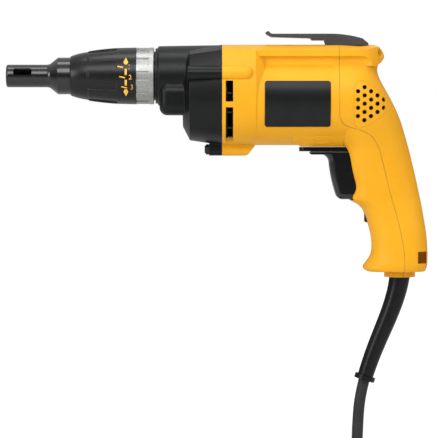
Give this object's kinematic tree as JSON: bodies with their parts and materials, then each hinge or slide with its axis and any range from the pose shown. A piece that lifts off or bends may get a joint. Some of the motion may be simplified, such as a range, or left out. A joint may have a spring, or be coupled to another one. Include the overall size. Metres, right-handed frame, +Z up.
{
  "type": "drywall screwdriver",
  "caption": "Corded drywall screwdriver with pistol grip, trigger, depth-setting nose, clutch spindle, belt hook and a tied cord with plug.",
  "frame": {"origin": "middle of the hand grip", "axes": "-X towards the nose along the spindle, +Z up, Y across the tool"},
  "size_m": [0.2985, 0.1461, 0.3392],
  "materials": {
    "yellow_plastic": "fine grained moulding",
    "black_plastic": "satin moulding",
    "black_metal": "satin black paint on cast metal",
    "hook_steel": "black coated",
    "bright_metal": "satin",
    "steel": "turned",
    "laminated_steel": "stacked sheets",
    "copper": "lacquered wire",
    "bronze": "plain",
    "magnet": "ground",
    "carbon": "pressed carbon",
    "plate_aluminium": "cast",
    "black_rubber": "matt"
  },
  "bodies": {
    "motor_body": {"motor_housing": "yellow_plastic", "handle_cover": "yellow_plastic", "handle_cover_screws": "steel", "gear_case": "black_metal", "gear_case_screws": "steel", "bearing_plate": "plate_aluminium", "gear_bush": "bronze", "spindle_bush": "bronze", "neck_o_ring": "black_rubber", "thrust_washer": "steel", "front_bearing_outer": "steel", "rear_bearing_outer": "steel", "stator_core": "laminated_steel", "field_coils": "copper", "fan_baffle": "black_plastic", "end_frame": "black_plastic", "brush_holders": "bronze", "carbon_brushes": "carbon", "brush_springs": "steel", "side_labels": "black_plastic", "belt_hook": "hook_steel", "switch_body": "black_plastic", "cord_protector": "black_rubber", "supply_lead": "black_rubber", "cord_clamp": "black_plastic", "cord_clamp_screws": "steel", "power_cord": "black_rubber", "cord_coil": "black_rubber", "cord_tie": "black_rubber", "plug_body": "black_rubber", "plug_blades": "bronze"},
    "armature": {"armature_shaft": "steel", "armature_core": "laminated_steel", "armature_winding": "copper", "commutator": "copper", "cooling_fan": "black_plastic", "front_bearing_inner": "steel", "front_bearing_balls": "steel", "rear_bearing_inner": "steel", "rear_bearing_balls": "steel"},
    "drive_gear_set": {"drive_gear": "steel", "gear_shaft": "steel", "clutch_spring": "steel"},
    "spindle_set": {"spindle": "steel", "bit_holder": "steel", "bit_magnet": "magnet"},
    "nose_mount": {"detent_ring": "bright_metal"},
    "collar": {"depth_collar": "black_plastic"},
    "nose": {"nosepiece": "black_plastic"},
    "trigger_set": {"trigger": "black_plastic"},
    "lever": {"reversing_lever": "black_plastic"},
    "lock": {"lock_button": "black_plastic"}
  },
  "joints": [
    {"name": "armature_spin", "type": "hinge", "parent": "motor_body", "child": "armature", "pos_m": [-0.1235, 0, 0.0901], "axis": [1, 0, 0], "continuous": true},
    {"name": "drive_gear_spin", "type": "hinge", "parent": "motor_body", "child": "drive_gear_set", "pos_m": [-0.1235, 0, 0.1057], "axis": [1, 0, 0], "continuous": true},
    {"name": "spindle_push", "type": "slide", "parent": "drive_gear_set", "child": "spindle_set", "axis": [1, 0, 0], "range_m": [0, 0.0028], "stiffness_N_per_m": 900, "springref_m": -0.004, "deforming": ["clutch_spring"]},
    {"name": "nose_pull_off", "type": "slide", "parent": "motor_body", "child": "nose_mount", "axis": [-1, 0, 0], "range_m": [0, 0.09]},
    {"name": "collar_turn", "type": "hinge", "parent": "nose_mount", "child": "collar", "pos_m": [-0.1235, 0, 0.1057], "axis": [1, 0, 0], "range_deg": [-270, 270]},
    {"name": "nose_slide", "type": "slide", "parent": "nose_mount", "child": "nose", "axis": [1, 0, 0], "range_m": [-0.003, 0.003]},
    {"name": "trigger_pull", "type": "slide", "parent": "motor_body", "child": "trigger_set", "axis": [1, 0, 0], "range_m": [0, 0.006], "stiffness_N_per_m": 600, "springref_m": -0.004},
    {"name": "lever_swing", "type": "hinge", "parent": "motor_body", "child": "lever", "pos_m": [-0.034, 0, 0.054], "axis": [0, 0, 1], "range_deg": [-12, 12]},
    {"name": "lock_press", "type": "slide", "parent": "motor_body", "child": "lock", "axis": [1, 0, 0], "range_m": [0, 0.0025], "stiffness_N_per_m": 400, "springref_m": -0.002}
  ],
  "couplings": [
    {"joint": "drive_gear_spin", "follows": "armature_spin", "ratio": -0.18182},
    {"joint": "nose_slide", "follows": "collar_turn", "m_per_rad": 0.000636}
  ]
}
